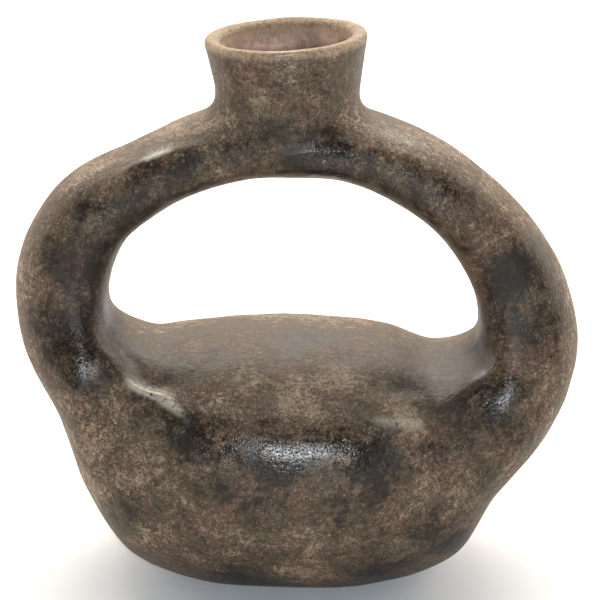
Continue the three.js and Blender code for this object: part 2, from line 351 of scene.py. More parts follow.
print("the rim's edge in mm, right and left:",
      np.round(rim_edge_height(np.array([0, math.pi])) / MM, 1))

# %% [markdown]
# One closed mesh carries all of it: the outside, the spout, the lip, the bore and the inside.
# The outside is a grid of cells that leaves a window open at the crown. Loops of points lead
# from the window's rim up the spout, over the lip and down the bore to a window of the same
# kind in the inside's grid. The inside has half as many cells each way, as nobody sees it
# closely. Cutting solids from each other would be quicker, but it leaves slivers at the cuts,
# and relief on slivers shows as dents.

# %% How fine the mesh is, and the windows at the crown
CELLS_A_RIB = 20
CELLS_AROUND = CELLS_A_RIB * len(RIBS)
CELLS_ACROSS = 168
COLLAR_ROWS = 10
FILLET_ROWS = 8
WALL_ROWS = 26
LIP_ROWS = 8
BORE_ROWS = 12
INNER_COLLAR_ROWS = 4

# The window spans half of the section, and along the crown it ends an even number of cells
# from its middle, beyond the fillet's foot on the left
SPREAD = CELLS_ACROSS // 4
widest_turn, _ = spot_on_crown(np.array(CROWN_X - NECK_RADIUS - FILLET_LEFT), np.array(0.0))
REACH = 2 * math.ceil((abs(float(widest_turn)) * CELLS_AROUND + 1) / 2)


def window_rim(reach, spread):
    """The places on a window's rim in cells from its middle, anticlockwise from the right,
    with the heading round the spout that each belongs to: every side takes a quarter of the
    circle, shared out evenly."""
    across, along = np.arange(-spread, spread), np.arange(-reach, reach)
    right = np.stack([np.full(len(across), reach), across], 1)
    back = np.stack([-along, np.full(len(along), spread)], 1)
    places = np.concatenate([right, back, -right, -back])
    shares = (across / spread, along / reach, across / spread, along / reach)
    headings = [math.pi / 4 * (2 * side + share) for side, share in enumerate(shares)]
    return places, np.concatenate(headings)


print(CELLS_AROUND, "cells round the opening,", CELLS_ACROSS, "round the section; the window is",
      2 * REACH, "by", 2 * SPREAD)

# %% [markdown]
# A face is four point numbers, or three where a loop meets one of half as many points. They
# run anticlockwise seen from outside the clay, so that every face points outwards.

# %% Cells of the grids and bands between loops
def shell_cells(around, across, reach, first_number):
    """The grid's cells outside its window, four point numbers each, anticlockwise seen from
    outside the clay."""
    spread = across // 4
    i, j = np.meshgrid(np.arange(-reach, around - reach), np.arange(-spread, across - spread),
                       indexing="ij")
    kept = (i >= reach) | (j >= spread)
    i, j = i[kept], j[kept]

    def number(i, j):
        return first_number + np.mod(i, around) * across + np.mod(j, across)

    return np.stack([number(i, j), number(i + 1, j), number(i + 1, j + 1), number(i, j + 1)], 1)


def band(start, end):
    """Cells between two loops of as many points."""
    return np.stack([start, np.roll(start, -1), np.roll(end, -1), end], 1)


def halving_band(start, end):
    """Triangles between a loop and one of half as many points."""
    a, b, c = start[0::2], start[1::2], np.roll(start[0::2], -1)
    d, e = end, np.roll(end, -1)
    return np.concatenate([np.stack(corners, 1) for corners in ((a, b, d), (b, e, d), (b, c, e))])


print("cells of the outside's grid:", len(shell_cells(CELLS_AROUND, CELLS_ACROSS, REACH, 0)))

# %% [markdown]
# The collar lies on the crown between the window's square rim and the round foot of the fillet.
# The fillet is a curve from the crown to the wall that is pulled toward the crease where the
# two would meet. The wall, the lip, the bore and the crown's ceiling follow as further loops.

# %% Loops of points from the crown over the lip to the ceiling
def grid_points(around, across, inside):
    """All points of the outside's or the inside's grid, those that no cell uses as well."""
    turn = np.arange(around)[:, None] / around
    angle = 2 * math.pi * np.arange(across)[None, :] / across
    return shell(turn, angle, inside).reshape(-1, 3)


def collar(places, around, across, foot_turn, foot_angle, rows, inside):
    """Rows of points on the shell between the window's rim and a ring on the crown."""
    turn, angle = places[:, 0] / around, 2 * math.pi * places[:, 1] / across
    return [shell(blend(turn, foot_turn, row / rows), blend(angle, foot_angle, row / rows), inside)
            for row in range(1, rows)]


def crease_on_crown(heading, radius, inside):
    """A ring on the shell at a radius round the crown's middle: its turns, its angles and its
    points."""
    x = CROWN_X + radius * np.cos(heading)
    turn, angle = spot_on_crown(x, radius * np.sin(heading), inside)
    return turn, angle, shell(turn, angle, inside)


def outer_spout_loops():
    """The collar on the crown, the fillet, the flared wall and the lip. The fillet's foot lies
    its reach away from the crease, counted along the turn and along the angle, and its top as
    far up the wall. Between them it is (1 - t)^2 foot + 2 t (1 - t) crease + t^2 top."""
    places, heading = window_rim(REACH, SPREAD)
    turn, angle, crease = crease_on_crown(heading, NECK_RADIUS, False)
    reach = fillet_reach(heading)
    by_turn = (shell(turn + SLOPE_STEP, angle) - crease) / SLOPE_STEP
    by_angle = (shell(turn, angle + SLOPE_STEP) - crease) / SLOPE_STEP
    turn_length = np.linalg.norm(by_turn, axis=-1)
    angle_length = np.linalg.norm(by_angle, axis=-1)
    foot_turn = turn + reach * np.cos(heading) / turn_length
    foot_angle = angle + reach * np.sin(heading) / angle_length
    rise = reach / (rim_edge_height(heading) - crease[:, 2])
    foot = shell(foot_turn, foot_angle)
    top = spout_wall(crease[:, 2], heading, rise, NECK_RADIUS, RIM_RADIUS)
    loops = collar(places, CELLS_AROUND, CELLS_ACROSS, foot_turn, foot_angle, COLLAR_ROWS, False)
    for t in np.linspace(0, 1, FILLET_ROWS + 1):
        loops.append((1 - t) ** 2 * foot + 2 * t * (1 - t) * crease + t ** 2 * top)
    for row in range(1, WALL_ROWS + 1):
        share = blend(rise, 1, row / WALL_ROWS)
        loops.append(spout_wall(crease[:, 2], heading, share, NECK_RADIUS, RIM_RADIUS))
    for row in range(1, LIP_ROWS + 1):
        loops.append(lip(heading, row / LIP_ROWS))
    return loops


def bore_loops():
    """From under the lip down to just above the crease in the crown's ceiling."""
    _, heading = window_rim(REACH, SPREAD)
    foot_radius = NECK_RADIUS - STIRRUP_WALL
    _, _, crease = crease_on_crown(heading, foot_radius, True)
    edge_radius = RIM_RADIUS - LIP_THICKNESS
    shares = 1 - np.arange(1, BORE_ROWS + 1) / (BORE_ROWS + 1)
    return [spout_wall(crease[:, 2], heading, share, foot_radius, edge_radius) for share in shares]


def inner_loops():
    """The crease in the ceiling and the rows from it to the inside's window."""
    places, heading = window_rim(REACH // 2, SPREAD // 2)
    turn, angle, crease = crease_on_crown(heading, NECK_RADIUS - STIRRUP_WALL, True)
    rows = collar(places, CELLS_AROUND // 2, CELLS_ACROSS // 2, turn, angle,
                  INNER_COLLAR_ROWS, True)
    return [crease] + rows[::-1]


spout, bore, ceiling = outer_spout_loops(), bore_loops(), inner_loops()
print("loops on the spout, down the bore and under the crown:",
      len(spout), len(bore), len(ceiling))

# %% [markdown]
# Now the grids and the loops are put together. Points that no face uses, those inside the
# windows, drop out at the end.

# %% Join grids and loops to one closed surface
def closed_surface(spout, bore, ceiling):
    """Points and cells of the whole vessel. The number of points on the outside, the spout and
    the lip comes back too, as these come first."""
    across, around = CELLS_ACROSS, CELLS_AROUND
    points = [grid_points(around, across, False)]
    count = len(points[0])
    chain = []
    for loop in spout + bore + ceiling:
        chain.append(count + np.arange(len(loop)))
        points.append(loop)
        count += len(loop)
    points.append(grid_points(around // 2, across // 2, True))
    rims = []
    for first, divide in ((0, 1), (count, 2)):
        places, _ = window_rim(REACH // divide, SPREAD // divide)
        rims.append(first + np.mod(places[:, 0], around // divide) * (across // divide)
                    + np.mod(places[:, 1], across // divide))
    chain = [rims[0]] + chain + [rims[1]]
    quads = [shell_cells(around, across, REACH, 0),
             shell_cells(around // 2, across // 2, REACH // 2, count)[:, ::-1]]
    triangles = []
    for start, end in zip(chain, chain[1:]):
        if len(start) == len(end):
            quads.append(band(start, end))
        else:
            triangles.append(halving_band(start, end))
    outside = around * across + sum(len(loop) for loop in spout)
    return np.concatenate(points), np.concatenate(quads), np.concatenate(triangles), outside


points, quads, triangles, outside_count = closed_surface(spout, bore, ceiling)
used, corners = np.unique(np.concatenate([quads.ravel(), triangles.ravel()]), return_inverse=True)
quads, triangles = corners[:quads.size].reshape(-1, 4), corners[quads.size:].reshape(-1, 3)
points, outside = points[used], used < outside_count
print(len(points), "points,", 2 * len(quads) + len(triangles), "triangles")

# %% [markdown]
# The arrays go into a mesh in one call each. The object stands at the origin, with its place in
# its points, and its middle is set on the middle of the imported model's box.

# %% Put the surface into a mesh
def make_piece(name, points, quads, triangles):
    """A mesh object from arrays: the points, then each face's corners one after another."""
    mesh = bpy.data.meshes.new(name)
    corners = np.concatenate([quads.ravel(), triangles.ravel()]).astype(np.int32)
    sizes = np.concatenate([np.full(len(quads), 4), np.full(len(triangles), 3)])
    starts = np.concatenate([[0], np.cumsum(sizes)[:-1]]).astype(np.int32)
    mesh.vertices.add(len(points))
    mesh.loops.add(len(corners))
    mesh.polygons.add(len(sizes))
    mesh.vertices.foreach_set("co", points.astype(np.float32).ravel())
    mesh.loops.foreach_set("vertex_index", corners)
    mesh.polygons.foreach_set("loop_start", starts)
    mesh.update(calc_edges=True)
    mesh.validate()
    mesh.shade_smooth()
    piece = bpy.data.objects.new(name, mesh)
    bpy.context.scene.collection.objects.link(piece)
    return piece


surface_middle = (points.min(axis=0) + points.max(axis=0)) / 2
frame_middle = (np.array(lowest) + np.array(highest)) / 2
points[:, :2] += (frame_middle - surface_middle)[:2]
vessel = make_piece("burnished_vessel", points, quads, triangles)
print("faces:", len(vessel.data.polygons))

# %% [markdown]
# Nothing on the real vessel is even. Two kinds of relief are laid over the smooth form. One is
# everywhere: shallow dents and swellings from fingers and the polishing pebble, made by smooth
# noise at a few sizes. The other is single marks that the eye finds at once. There are three
# shapes of them: a path that is raised or pressed in, a round spot, and a place pressed flat.
# All move the points along the surface's normals, in true geometry, so that they also catch the
# light and show in the outline. Sculpting by hand would give the same, but these can be measured
# and moved by a number.

# %% Noise, spots, flat places and paths
NOISE_NUMBERS = 8192
CORNER_PRIMES = (73856093, 19349663, 83492791)


def lattice_noise(points, size, seed):
    """Smooth noise from -1 to 1: random numbers at the corners of cubes of a size, mixed
    inside each cube with the weights 3 t^2 - 2 t^3 along x, y and z. Which number a corner gets
    comes from its three counts, each times a large prime."""
    numbers = np.random.default_rng(seed).uniform(-1, 1, NOISE_NUMBERS)
    cell = np.floor(points / size).astype(np.int64)
    t = smooth_step(points / size - cell, 0, 1)
    total = np.zeros(len(points))
    for dx, dy, dz in np.ndindex(2, 2, 2):
        corner = cell + (dx, dy, dz)
        mixed = np.bitwise_xor.reduce(corner * np.array(CORNER_PRIMES), axis=1)
        weight = (np.where(dx, t[:, 0], 1 - t[:, 0]) * np.where(dy, t[:, 1], 1 - t[:, 1])
                  * np.where(dz, t[:, 2], 1 - t[:, 2]))
        total += weight * numbers[np.mod(mixed, NOISE_NUMBERS)]
    return total


def spot(points, centre, radii, height):
    """A round swelling or dent: the height times exp(-d^2), d being the distance from the
    centre in radii along x, y and z."""
    apart = (points / MM - np.array(centre)) / np.array(radii)
    return height * np.exp(-(apart ** 2).sum(axis=1))


def flat(points, centre, facing, radius):
    """A place pressed flat: points go toward the plane through the centre, by a share of
    exp(-(distance / radius)^2) of their height over it."""
    offset = points / MM - np.array(centre)
    facing = np.array(facing) / np.linalg.norm(facing)
    apart = np.linalg.norm(offset, axis=1) / radius
    return -(offset @ facing) * np.exp(-apart ** 2)


def crease(points, path, width, height):
    """A ridge, or a groove where the height is below 0, along a path of straight stretches:
    the height times exp(-(distance / width)^2). The factor 1 - (2 s - 1)^4, s being the share
    of the way along, fades it out at both ends."""
    places = points / MM
    path = np.array(path, float)
    nearest = np.full(len(points), np.inf)
    share = np.zeros(len(points))
    for k in range(len(path) - 1):
        stretch = path[k + 1] - path[k]
        t = np.clip((places - path[k]) @ stretch / (stretch @ stretch), 0, 1)
        apart = np.linalg.norm(places - path[k] - t[:, None] * stretch, axis=1)
        closer = apart < nearest
        nearest[closer] = apart[closer]
        share[closer] = (k + t[closer]) / (len(path) - 1)
    return height * np.exp(-(nearest / width) ** 2) * (1 - (2 * share - 1) ** 4)


print("random numbers behind each layer of noise:", NOISE_NUMBERS)

# %% [markdown]
# Where the arms were pressed onto the chamber, the clay rose in a ridge at the left shoulder
# and in a low crest at the right one, with hollows behind them, and the feet of both arms were
# pressed flat by a thumb. The left crown has a crisp edge, worn pale and given a painted
# highlight, with a scratch under it, and something scraped the spout below its lip. Each path
# gives its width and its height, each spot its three radii and its height, and each flat place
# the way it faces and its radius.

# %% The marks, in millimetres in the vessel's frame
CREASES = {
    "left shoulder's ridge": ([(-72, -34, 95), (-66, -38, 91), (-61, -40, 90), (-55, -42.5, 88.5),
                               (-49, -47, 86), (-43, -52, 82.5)], 2.7, 2.1),
    "groove behind the left arm's foot": ([(-79, -16, 107), (-74, -18, 101), (-69, -22, 97.5),
                                           (-63.5, -28, 94.5), (-58, -32, 93)], 5, -1.5),
    "right shoulder's crest": ([(25, -54, 82.5), (33, -52.5, 83), (40, -51, 81.5),
                                (47, -49.5, 80), (54, -47, 79.5)], 3.8, 1.9),
    "hollow behind the crest": ([(26, -38, 92.5), (34, -36, 91.5), (42, -33, 90), (50, -28, 88)],
                                6, -1.6),
    "ridge of the right arm's foot": ([(62, -45, 77), (68, -42, 82), (74, -39, 87), (80, -36, 92),
                                       (86, -32, 98)], 11, 1.2),
    "fold at the right arm": ([(72, -4, 99), (74, -10, 98.5), (76, -22, 97.5), (76, -30, 96)],
                              6, -0.6),
    "left crown's edge": ([(-76, -19, 171), (-69, -18.5, 175.5), (-62.3, -18.3, 179),
                           (-55.9, -19.1, 182.1), (-49.1, -20.2, 185), (-42.7, -21.9, 186.8),
                           (-33, -24.2, 188)], 2.4, 0.9),
    "left crown's worn edge with painted highlight": ([(-62, -18.3, 179.2), (-55.9, -19.1, 182.1),
                                (-47, -20.6, 185.4)], 1.2, 0.4),
    "scratch under the left crown's edge": ([(-52, -24.8, 178), (-50, -24.8, 175.5),
                                             (-46.5, -25, 173.5)], 1.0, 0.15),
    "scrape under the lip": ([(-15, -29.5, 226.0), (-5, -32.5, 226.2), (6, -32.0, 227.2)],
                             1.5, -0.7),
}
SPOTS = {
    "hollow over the left ridge": ((-57, -35, 92), (9, 6, 5), -1.8),
    "left body's hollow": ((-88, -30, 78), (10, 14, 9), -1.6),
    "left crown's front": ((-56, -25, 173), (16, 8, 5), -0.9),
    "nick at the foot, left": ((-78, 8, 22), (5, 12, 4), -1.4),
}
FLATS = {
    "left arm's foot": ((-82.5, -36.8, 98.7), (0.10, -0.91, 0.41), 9.5),
    "right arm's foot": ((74, -38.4, 86.5), (-0.12, -0.87, 0.48), 11),
}
# How bright the backs of some marks are painted, as rubbed clay with a painted highlight, 0 to 1
RUBBED_AND_HIGHLIT_MARKS = {
    "left shoulder's ridge": 1.0,
    "right shoulder's crest": 0.62,
    "left crown's worn edge with painted highlight": 0.9,
    "scratch under the left crown's edge": 0.6,
}
# The noise's sizes, each with its height
NOISE_LAYERS = ((42, 0.75), (19, 0.42), (8.5, 0.16), (3.6, 0.06))
print(len(CREASES), "paths,", len(SPOTS), "spots and", len(FLATS), "flat places")

# %% [markdown]
# The marks are summed and the points moved. The foot stays flat and on the ground: the relief
# fades out just above it. Inside, where no pebble reached, the noise is stronger and there are
# no marks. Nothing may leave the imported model's box, so the points are held within it.

# %% Move the points
RELIEF_FREE_HEIGHT = 6 * MM
ROUGHER_INSIDE = 1.6


def relief(points):
    """The height, in millimetres, of the single marks and of the noise at the points."""
    marks = np.zeros(len(points))
    for path, width, height in CREASES.values():
        marks += crease(points, path, width, height)
    for centre, radii, height in SPOTS.values():
        marks += spot(points, centre, radii, height)
    for centre, facing, radius in FLATS.values():
        marks += flat(points, centre, facing, radius)
    noise = np.zeros(len(points))
    for seed, (size, height) in enumerate(NOISE_LAYERS):
        noise += height * lattice_noise(points, size * MM, seed)
    return marks, noise


def vertex_normals(mesh):
    """The unit normal at each point, as an array."""
    normals = np.empty(3 * len(mesh.vertices), np.float32)
    mesh.vertices.foreach_get("normal", normals)
    return normals.reshape(-1, 3)


marks, noise = relief(points)
free_of_ground = smooth_step(points[:, 2], 0, RELIEF_FREE_HEIGHT)
height = np.where(outside, marks + noise, ROUGHER_INSIDE * noise) * free_of_ground
moved = points + vertex_normals(vessel.data) * (height * MM)[:, None]
moved[:, 2] = np.where(points[:, 2] > 0, np.maximum(moved[:, 2], 0), 0)
moved = np.clip(moved, np.array(lowest), np.array(highest))
vessel.data.vertices.foreach_set("co", moved.astype(np.float32).ravel())
vessel.data.update()
print("relief in mm, lowest and highest:", height.min().round(2), height.max().round(2))

# %% [markdown]
# The finish has to know where it is: inside or outside, on the lip, on the back or in the
# hollow of a mark, where shade is painted, and on the ridges painted pale, as rubbed clay with
# a painted highlight. The same formulas that shaped the clay give these as one number for each
# point, kept with the mesh, so colour and form can't slip apart as they could with a painted
# picture.

# %% Mark the inside, the lip and the relief for the finish
LIP_TAN_FROM = -1.8 * MM
LIP_TAN_FULL = 1.2 * MM
LIP_TAN_INSIDE = -8 * MM
# Past the lip's top the tan counts inward, in shares of its thickness, and not by height
LIP_TOP_FROM, LIP_TOP_FULL = 0.3, 0.6
RIM_EDGE = -0.1 * MM


def rubbed_and_highlit_share(points):
    """Near 1 on the backs of the marks painted brightest, as rubbed clay with a painted highlight,
    and 0 away from them all.
    """
    share = np.zeros(len(points))
    for name, strength in RUBBED_AND_HIGHLIT_MARKS.items():
        path, width, _ = CREASES[name]
        share = np.maximum(share, crease(points, path, width, strength))
    return share


def add_attribute(mesh, name, values):
    """Keeps one number for each point in the mesh under a name."""
    attribute = mesh.attributes.new(name, "FLOAT", "POINT")
    attribute.data.foreach_set("value", values.astype(np.float32))


heading = np.arctan2(points[:, 1], points[:, 0] - CROWN_X)
on_spout = points[:, 2] > CROWN_HEIGHT + SPOUT_HEIGHT / 2
under_rim = points[:, 2] - rim_edge_height(heading)
inward = RIM_RADIUS - np.hypot(points[:, 0] - CROWN_X, points[:, 1])
past_top = smooth_step(inward, LIP_TOP_FROM * LIP_THICKNESS, LIP_TOP_FULL * LIP_THICKNESS)
past_top = past_top * (under_rim > RIM_EDGE)
lip_front = np.maximum(smooth_step(under_rim, LIP_TAN_FROM, LIP_TAN_FULL), past_top)
lip_back = smooth_step(under_rim, LIP_TAN_INSIDE, 0)
lip_share = np.where(outside, lip_front, lip_back) * on_spout
add_attribute(vessel.data, "inside", 1.0 * ~outside)
add_attribute(vessel.data, "lip", lip_share)
add_attribute(vessel.data, "proud", marks)
# The rubbed ridges' share paints them pale: rubbed clay with a painted highlight on it
add_attribute(vessel.data, "rubbed_and_highlit", rubbed_and_highlit_share(points))
print("points on the lip:", int((lip_share > 0.5).sum()))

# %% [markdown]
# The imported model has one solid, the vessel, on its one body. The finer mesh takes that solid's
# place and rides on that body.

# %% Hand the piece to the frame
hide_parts("vessel")
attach(vessel, "root")
print("in place of the packed solid:", vessel.name)

# %% [markdown]
# The finish is worked out in shader nodes, written as sums. Joining nodes with the mouse gives
# the same, but a sum can be read. A small class wraps a socket, so that adding or multiplying
# two of them adds the Math node that does it. Everything is laid out on Object coordinates in
# metres, so a pattern keeps its real size.

# %% Write node sums as Python
class Socket:
    """An output of a shader node. Arithmetic on it adds Math nodes to the same tree."""

    tree = None

    def __init__(self, output):
        self.output = output

    @classmethod
    def node(cls, kind, settings, sockets, output=0):
        """Adds a node: its settings come first, then the values or links of its sockets. The
        output is named, or counted where several have one name."""
        node = cls.tree.nodes.new(kind)
        for name, value in settings.items():
            setattr(node, name, value)
        for name, value in sockets.items():
            if isinstance(value, Socket):
                cls.tree.links.new(value.output, node.inputs[name])
            else:
                node.inputs[name].default_value = value
        return cls(node.outputs[output])

    @classmethod
    def math(cls, operation, *values):
        """A Math node's result for its values in order."""
        return cls.node("ShaderNodeMath", {"operation": operation}, dict(enumerate(values)))

    def __add__(self, other):
        return self.math("ADD", self, other)

    def __mul__(self, other):
        return self.math("MULTIPLY", self, other)

    def __sub__(self, other):
        return self.math("SUBTRACT", self, other)

    def __rsub__(self, other):
        return self.math("SUBTRACT", other, self)

    def __truediv__(self, other):
        return self.math("DIVIDE", self, other)

    __radd__ = __add__
    __rmul__ = __mul__

    def step(self, low, high):
        """0 at low and 1 at high, smoothly, also where high is the smaller of the two."""
        return self.node("ShaderNodeMapRange", {"interpolation_type": "SMOOTHSTEP"},
                         {"Value": self, "From Min": low, "From Max": high})

    def part(self, name):
        """The X, Y or Z of a vector."""
        return self.node("ShaderNodeSeparateXYZ", {}, {0: self}, name)

    def vector_math(self, operation, other=(0, 0, 0), output="Vector"):
        """A Vector Math node on this vector and another."""
        return self.node("ShaderNodeVectorMath", {"operation": operation},
                         {0: self, 1: other}, output)

    def into(self, socket):
        """Links this value to a socket of the same tree."""
        self.tree.links.new(self.output, socket)


clay = bpy.data.materials.new("smoked_clay")
clay.use_nodes = True
Socket.tree = clay.node_tree
print("nodes that a new material starts with:", [node.name for node in Socket.tree.nodes])

# %% [markdown]
# Three more helpers make what the finish is built from: mixes of two colours, noise of a real
# size, and the numbers that the mesh carries.

# %% Mixes, noise and the mesh's own numbers
MIX_FROM, MIX_TO, MIX_RESULT = 6, 7, 2


def larger(a, b):
    """The larger of two values."""
    return Socket.math("MAXIMUM", a, b)


def colour_mix(start, end, factor):
    """A colour between two, which may be sockets or plain numbers. A Mix node keeps its colour
    sockets behind those for numbers and vectors, so they are counted."""
    start, end = (value if isinstance(value, Socket) else (*value, 1) for value in (start, end))
    return Socket.node("ShaderNodeMix", {"data_type": "RGBA"},
                       {0: factor, MIX_FROM: start, MIX_TO: end}, MIX_RESULT)


def noise_of(vector, size, detail=2.0, roughness=0.5, distortion=0.0):
    """Noise around 0.5 whose features are about a size across, in millimetres."""
    return Socket.node("ShaderNodeTexNoise", {}, {
        "Vector": vector, "Scale": 1 / (size * MM), "Detail": detail,
        "Roughness": roughness, "Distortion": distortion})


def kept_number(name):
    """The number that the mesh keeps for each point under a name."""
    return Socket.node("ShaderNodeAttribute", {"attribute_name": name}, {}, "Fac")


place = Socket.node("ShaderNodeTexCoord", {}, {}, "Object")
inside, on_lip = kept_number("inside"), kept_number("lip")
# The rubbed ridges' share paints them pale: rubbed clay with a painted highlight on it
proud, rubbed_and_highlit = kept_number("proud"), kept_number("rubbed_and_highlit")
print("the mesh keeps:", [attribute.name for attribute in vessel.data.attributes])

# %% [markdown]
# The potter rubbed the leather-hard clay with a pebble, stroke beside stroke round the ring,
# and left faint bands that run the same way. To make noise that follows the ring, each place
# is described by its direction from the middle of the opening and its distance from it.
# Noise stretched along the direction draws the strokes.

# %% Coordinates that follow the ring
OPENING_MIDDLE = CHAMBER_HEIGHT + OPENING_HEIGHT / 2
from_middle = place.vector_math("SUBTRACT", (0, 0, OPENING_MIDDLE))
in_plane = from_middle.vector_math("MULTIPLY", (1, 0, 1))
distance = in_plane.vector_math("LENGTH", output="Value")
direction = in_plane.vector_math("NORMALIZE")
depth = place.part("Y")


def along_ring(length, width, detail=3.0, roughness=0.55):
    """Noise with features of a length round the ring and a width across it, in millimetres:
    four-dimensional noise of the direction, the distance and the depth."""
    round_scale = OPENING_WIDTH / 2 / MM / length
    vector = Socket.node("ShaderNodeCombineXYZ", {}, {
        "X": direction.part("X") * round_scale,
        "Y": distance / (width * MM),
        "Z": depth / (width * MM)})
    return Socket.node("ShaderNodeTexNoise", {"noise_dimensions": "4D"}, {
        "Vector": vector, "W": direction.part("Z") * round_scale, "Scale": 1.0,
        "Detail": detail, "Roughness": roughness})


wiping = along_ring(30, 2.6)
strokes = along_ring(12, 1.1)
print("nodes with the strokes:", len(Socket.tree.nodes))

# %% [markdown]
# Smoke coloured the clay in the fire. Where soot was pressed in it is nearly black; where the
# flame touched, the brown came back; and where the surface is worn the buff clay shows through
# in ragged scabs. The same lighter patches are also painted light, where the tops and the
# plateau's back edge catch the lamps above and behind. The clouds of soot, the patches of wear
# and painted light and the burnished places are listed one by one, each with a place and a
# radius in millimetres. Painting them would need a flat picture of the whole skin, which can't
# be made for this shape without seams.

# %% Clouds of soot, worn places and burnished places
SMOKE_CLOUDS = {
    "chamber, front": (
        ((-68, -50, 42), 10), ((-42, -56, 78), 12), ((-30, -58, 60), 11), ((-8, -62, 70), 22),
        ((24, -60, 70), 22), ((30, -58, 58), 13), ((54, -50, 38), 13), ((64, -48, 26), 12),
        ((70, -46, 60), 9), ((88, -36, 74), 10), ((-20, -50, 8), 22), ((34, -50, 8), 22)),
    "chamber, top": (((0, -4, 99), 14),),
    "left arm's foot": (
        ((-84, -32, 99), 13), ((-66, -20, 97), 10), ((-74, -10, 112), 14), ((-86, -26, 110), 18)),
    "left arm": (
        ((-98, -10, 118), 14), ((-90, -24, 116), 17), ((-80, -28, 118), 18), ((-70, -18, 118), 14),
        ((-84, -22, 126), 22), ((-72, -20, 128), 20), ((-74, -22, 136), 16), ((-88, -25, 138), 22),
        ((-76, -22, 146), 20), ((-78, -24, 156), 22)),
    "crown": (
        ((-60, -25, 172), 22), ((-48, -22, 176), 16), ((-22, -26, 186), 13), ((-8, -27, 193), 11),
        ((0, -28, 178), 18), ((10, -28, 180), 22), ((0, -30, 186), 16), ((2, -28, 190), 12),
        ((44, -24, 172), 16), ((60, -24, 160), 18)),
    "right arm": (((98, -24, 140), 15), ((84, -24, 134), 16), ((92, -25, 112), 14)),
    "right arm's foot": (
        ((52, -30, 88), 12), ((68, -38, 90), 22), ((60, -34, 92), 15), ((58, -18, 97), 16),
        ((68, -6, 99), 14), ((78, -14, 106), 14)),
    "back": (
        ((-34, 62, 58), 22), ((38, 60, 44), 18), ((10, 62, 84), 14), ((-92, 26, 110), 14),
        ((-66, 24, 158), 17), ((72, 24, 146), 18)),
}
# Lighter patches toward bare clay, partly wear and partly painted light. Those on the chamber's
# top, the shoulders, the stirrup's outer side and the crown are mostly painted light: the
# brightness that the tops and the plateau's back edge get from the lamps above and behind.
WORN_AND_PAINTED_LIGHT_PLACES = {
    "chamber, front": (
        ((-80, -36, 48), 15), ((-70, -50, 60), 15), ((-78, -42, 74), 17), ((-60, -54, 34), 9),
        ((-30, -50, 30), 14), ((-6, -52, 16), 15), ((50, -50, 64), 9), ((62, -46, 50), 9),
        ((78, -34, 34), 9), ((84, -30, 60), 14), ((96, -22, 76), 15)),
    "chamber, ends": (
        ((-100, -6, 70), 16), ((-108, -8, 100), 18), ((98, -6, 64), 16), ((104, -8, 86), 18)),
    "chamber, top": (
        ((-34, -44, 90), 11), ((-20, -36, 93), 13), ((0, -44, 91), 14), ((16, -36, 92), 13),
        ((-40, 44, 96), 26), ((4, 50, 95), 34), ((40, 44, 92), 24)),
    "shoulders": (
        ((-58, -33, 93), 7), ((28, -57, 84), 8), ((38, -40, 90), 8), ((44, -46, 84), 13)),
    "stirrup, outer side": (
        ((-112, -6, 130), 20), ((-86, -6, 172), 22), ((-52, -6, 190), 30), ((56, -2, 184), 28),
        ((88, -6, 162), 26), ((108, -8, 130), 18)),
    "crown": (((-31, -22, 193), 7), ((24, -18, 198), 12), ((46, -14, 178), 12)),
}
BURNISHED_PLACES = {
    "chamber, front": (((-30, -58, 79), 14), ((-4, -61, 78), 20), ((16, -61, 77), 18)),
    "shoulders": (((-60, -40, 89), 9), ((-50, -46, 86), 8), ((44, -51, 82), 6)),
    "arms' feet": (((-88, -36, 104), 10), ((78, -39, 90), 10), ((81, -35, 93), 10)),
    "stirrup": (
        ((-79, -25, 160), 8), ((-56, -20, 182), 7), ((14, -28, 184), 12), ((40, -23, 183), 14),
        ((56, -25, 166), 10)),
    "under the lip": (((-4, -32, 225), 8),),
}
THROAT_SOOT = {"throat, back": (((4, 25, 217), 10),)}
PATCH_EDGE, PATCH_CORE = 1.5, 0.1


def patches(regions):
    """Near 1 in the middle of each patch, falling smoothly to 0 at 1.5 of its radii. Where
    patches overlap, the larger value counts."""
    shares = []
    for centre, radius in itertools.chain(*regions.values()):
        centre = tuple(side * MM for side in centre)
        offset = place.vector_math("DISTANCE", centre, "Value")
        shares.append((offset / (radius * MM)).step(PATCH_EDGE, PATCH_CORE))
    return functools.reduce(larger, shares)


# The second mask is wear and painted light, from the lighter patches listed above
smoke, wear_and_painted_light = patches(SMOKE_CLOUDS), patches(WORN_AND_PAINTED_LIGHT_PLACES)
burnished, throat_soot = patches(BURNISHED_PLACES), patches(THROAT_SOOT)
print("nodes with the patches:", len(Socket.tree.nodes))

# %% [markdown]
# From soot to bare clay is one measure, the tone, so that one colour always passes into the
# next as on real clay. Its base is noise with a wide range of sizes, which makes every edge
# ragged. The patches only push it up or down, the pebble's bands streak it, and small scabs
# and specks roughen it.

# %% The tone of the clay, from soot to bare clay
# Each noise's size in millimetres, then its detail, roughness and distortion
mottle = noise_of(place, 20, 10, 0.78, 0.5)
hue = noise_of(place, 16, 4, 0.6)
scabs = noise_of(place, 4, 6, 0.75, 0.6)
fine = noise_of(place, 3.2, 4, 0.68)
grit = noise_of(place, 1.1, 3, 0.8, 1.2)
specks = noise_of(place, 1.8, 3, 0.8)
sparkle = noise_of(place, 0.8, 1)
# Patches of wear and painted light lift the tone, and soot lowers it
tone = (mottle + wear_and_painted_light * 0.13 - smoke * 0.18 + (wiping - 0.5) * 0.28 + (scabs - 0.5) * 0.5
        + (specks - 0.5) * 0.25)
print("nodes with the tone:", len(Socket.tree.nodes))

